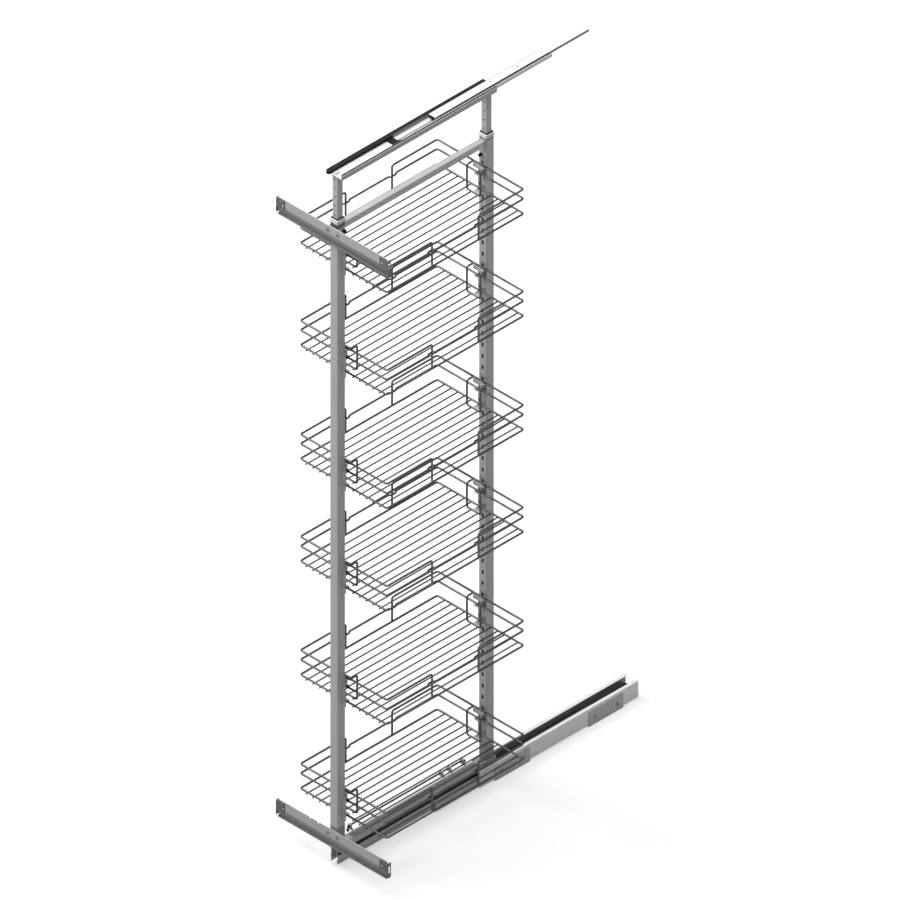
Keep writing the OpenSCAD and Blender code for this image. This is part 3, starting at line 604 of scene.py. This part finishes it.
def dressed(node, material, bevel):
    """A merged, smooth-shaded copy of a solid with finely rounded edges, in its place."""
    mesh = bpy.data.meshes.new(node + "_piece")
    bm = bmesh.new()
    bm.from_mesh(frame["nodes"][node].data)
    bmesh.ops.remove_doubles(bm, verts=bm.verts, dist=MERGE_DISTANCE)
    if bevel:
        bmesh.ops.dissolve_limit(bm, angle_limit=FLAT_ANGLE, verts=bm.verts, edges=bm.edges)
    for face in bm.faces:
        face.smooth = True
    bm.to_mesh(mesh)
    bm.free()
    mesh.set_sharp_from_angle(angle=SMOOTH_ANGLE)
    mesh.materials.clear()
    mesh.materials.append(material)
    piece = in_scene(node + "_piece", mesh)
    if bevel:
        round_off = piece.modifiers.new("rounded_edges", "BEVEL")
        round_off.width = bevel
        round_off.segments = ROUNDED_SEGMENTS
        round_off.limit_method = "ANGLE"
        round_off.angle_limit = ROUNDED_ANGLE
        round_off.harden_normals = True
    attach(piece, node_body[node])
    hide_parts(node)


def dress(title, table):
    """Dress each solid of a table with its finish and the width of its rounded edges."""
    for node, (material, bevel) in table.items():
        dressed(node, material, bevel)
    print(title, "has", len(table), "dressed solids")


# %% [markdown]
# ## The bottom runner
#
# Sheet and tube are rounded by three tenths of a millimetre, mouldings by twice that, and
# screws and thin strips by a little less. Ball cages are full of small round pockets that a
# bevel would only spoil. The guide cap at the rail's front is pale plastic with grooves, and
# the strip on the moving rail is dark.

# %% Dress the bottom runner
SHEET_EDGE, MOULD_EDGE, FINE_EDGE, AS_IS = 0.0003, 0.0006, 0.0002, 0.0

dress("bottom runner", {
    "lower_cabinet_rail": (RAIL_COAT, SHEET_EDGE),
    "front_guide_cap": (CAP_MOULD, SHEET_EDGE),
    "front_saddle": (GREY_COAT, SHEET_EDGE),
    "rear_saddle": (GREY_COAT, SHEET_EDGE),
    "saddle_screws": (DARK_ZINC, FINE_EDGE),
    "rail_end_stop": (RUBBER, MOULD_EDGE),
    "lower_middle_rail": (GREY_COAT, SHEET_EDGE),
    "lower_outer_ball_cage": (GREY_MOULD, AS_IS),
    "lower_inner_ball_cage": (GREY_MOULD, AS_IS),
    "lower_moving_rail": (SILVER_COAT["y"], SHEET_EDGE),
    "rail_guide_strips": (BLACK_MOULD, FINE_EDGE),
    "rail_cover_strip": (GREY_MOULD, FINE_EDGE),
})

# %% [markdown]
# ## The frame
#
# The posts stand on dark moulded feet and carry the crossbar, pale collars, the door brackets
# and the black catch rod. Streaks run along each of them: upright on the posts, across on the
# brackets, and from front to back on the crossbar.

# %% Dress the frame
dress("frame", {
    "front_post_foot": (FOOT_MOULD, MOULD_EDGE),
    "rear_post_foot": (FOOT_MOULD, MOULD_EDGE),
    "front_post": (POST_COAT["front"], SHEET_EDGE),
    "rear_post": (POST_COAT["rear"], SHEET_EDGE),
    "crossbar": (BRIGHT_ZINC["y"], SHEET_EDGE),
    "front_collar": (PALE_MOULD, MOULD_EDGE),
    "rear_collar": (PALE_MOULD, MOULD_EDGE),
    "clamp_screws": (BLACK_MOULD, SHEET_EDGE),
    "top_door_bracket": (BRACKET_COAT["top"], SHEET_EDGE),
    "bottom_door_bracket": (BRACKET_COAT["bottom"], SHEET_EDGE),
    "top_bracket_clips": (CLIP_SHADED_ZINC, SHEET_EDGE),
    "bottom_bracket_clips": (CLIP_SHADED_ZINC, SHEET_EDGE),
    "bracket_plates": (GREY_COAT, SHEET_EDGE),
    "bracket_screws": (DARK_ZINC, FINE_EDGE),
    "catch_rod": (BLACK_MOULD, AS_IS),
    "rod_clips": (GREY_COAT, FINE_EDGE),
})

# %% [markdown]
# ## The inner posts and the top runner
#
# The inner posts slide in the outer ones and carry the top runner. Its three members are fresh
# zinc, with black plastic ends and the black damper housing along one side.

# %% Dress the inner posts and the top runner
dress("top", {
    "front_inner_post": (SILVER_COAT["z"], SHEET_EDGE),
    "rear_inner_post": (SILVER_COAT["z"], SHEET_EDGE),
    "inner_post_plugs": (DARK_ZINC, FINE_EDGE),
    "upper_moving_channel": (CHANNEL_ZINC, SHEET_EDGE),
    "channel_screws": (DARK_ZINC, FINE_EDGE),
    "damper_housing": (BLACK_MOULD, MOULD_EDGE),
    "upper_middle_rail": (MIDDLE_ZINC, SHEET_EDGE),
    "upper_middle_nose": (BLACK_MOULD, SHEET_EDGE),
    "upper_cabinet_rail": (TOP_ZINC, SHEET_EDGE),
    "upper_rail_nose": (BLACK_MOULD, SHEET_EDGE),
    "upper_ball_cage": (DARK_ZINC, AS_IS),
})

# %% [markdown]
# ## The baskets and their hangers
#
# Six baskets of chromed wire hang on twelve folded zinc hangers. They are all alike, so a loop
# dresses them. A basket is one solid of welded wires, and its round faces need only the smooth
# shading.

# %% Dress the baskets and their hangers
BASKETS = range(1, 7)

for number in BASKETS:
    dress(f"basket {number}", {
        f"front_hanger_{number}": (BRIGHT_ZINC["z"], SHEET_EDGE),
        f"rear_hanger_{number}": (BRIGHT_ZINC["z"], SHEET_EDGE),
        f"basket_{number}": (CHROME, AS_IS),
    })

# %% [markdown]
# ## Shade rings on the collars
#
# A black ring lies on each collar around the inner post. It is painted shade: a dark piece for
# the shade in the gap between the collar and the inner post, seen as a dark line around the foot
# of the inner post. It is too small for the solids. A square face is inset by the ring's wall,
# its middle is deleted, and the rest is extruded upwards. Only the upper rims are bevelled,
# because the ring lies flat on the collar.

# %% Lay a shade ring on each collar
SHADE_RING_GAP = 0.0004       # metres between the ring and the inner post
SHADE_RING_WALL = 0.0019
SHADE_RING_HEIGHT = 0.003
SHADE_RING_EDGE = 0.0004
RIM_ANGLE = 1.0          # radians, between a ring's top and its sides


def shade_ring(collar, inner_post):
    """A square black ring on a collar, as painted shade, with a gap to the inner post that
    slides in it.
    """
    low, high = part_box(collar)
    post_low, post_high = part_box(inner_post)
    half = (post_high.x - post_low.x) / 2 + SHADE_RING_GAP + SHADE_RING_WALL
    mesh = bpy.data.meshes.new(collar + "_wiper")
    bm = bmesh.new()
    bmesh.ops.create_grid(bm, x_segments=1, y_segments=1, size=half)
    inner = bm.faces[:]
    bmesh.ops.inset_region(bm, faces=inner, thickness=SHADE_RING_WALL, use_boundary=True,
                           use_even_offset=True)
    bmesh.ops.delete(bm, geom=inner, context="FACES_ONLY")
    raised = bmesh.ops.extrude_face_region(bm, geom=bm.faces[:])["geom"]
    top = [v for v in raised if isinstance(v, bmesh.types.BMVert)]
    bmesh.ops.translate(bm, verts=top, vec=(0, 0, SHADE_RING_HEIGHT))
    bmesh.ops.recalc_face_normals(bm, faces=bm.faces)
    rims = [e for e in bm.edges if e.verts[0] in top and e.verts[1] in top
            and e.calc_face_angle(0) > RIM_ANGLE]
    bmesh.ops.bevel(bm, geom=rims, offset=SHADE_RING_EDGE, segments=ROUNDED_SEGMENTS, profile=0.5,
                    affect="EDGES", material=-1)
    middle = (low + high) / 2
    bmesh.ops.translate(bm, verts=bm.verts, vec=(middle.x, middle.y, high.z))
    bm.to_mesh(mesh)
    bm.free()
    mesh.materials.append(RUBBER)
    piece = in_scene(collar + "_wiper", mesh)
    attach(piece, node_body[collar])
    return piece


# Each ring is painted shade for the gap around an inner post.
for end in ("front", "rear"):
    ring = shade_ring(f"{end}_collar", f"{end}_inner_post")
    print(ring.name, len(ring.data.polygons), "faces")
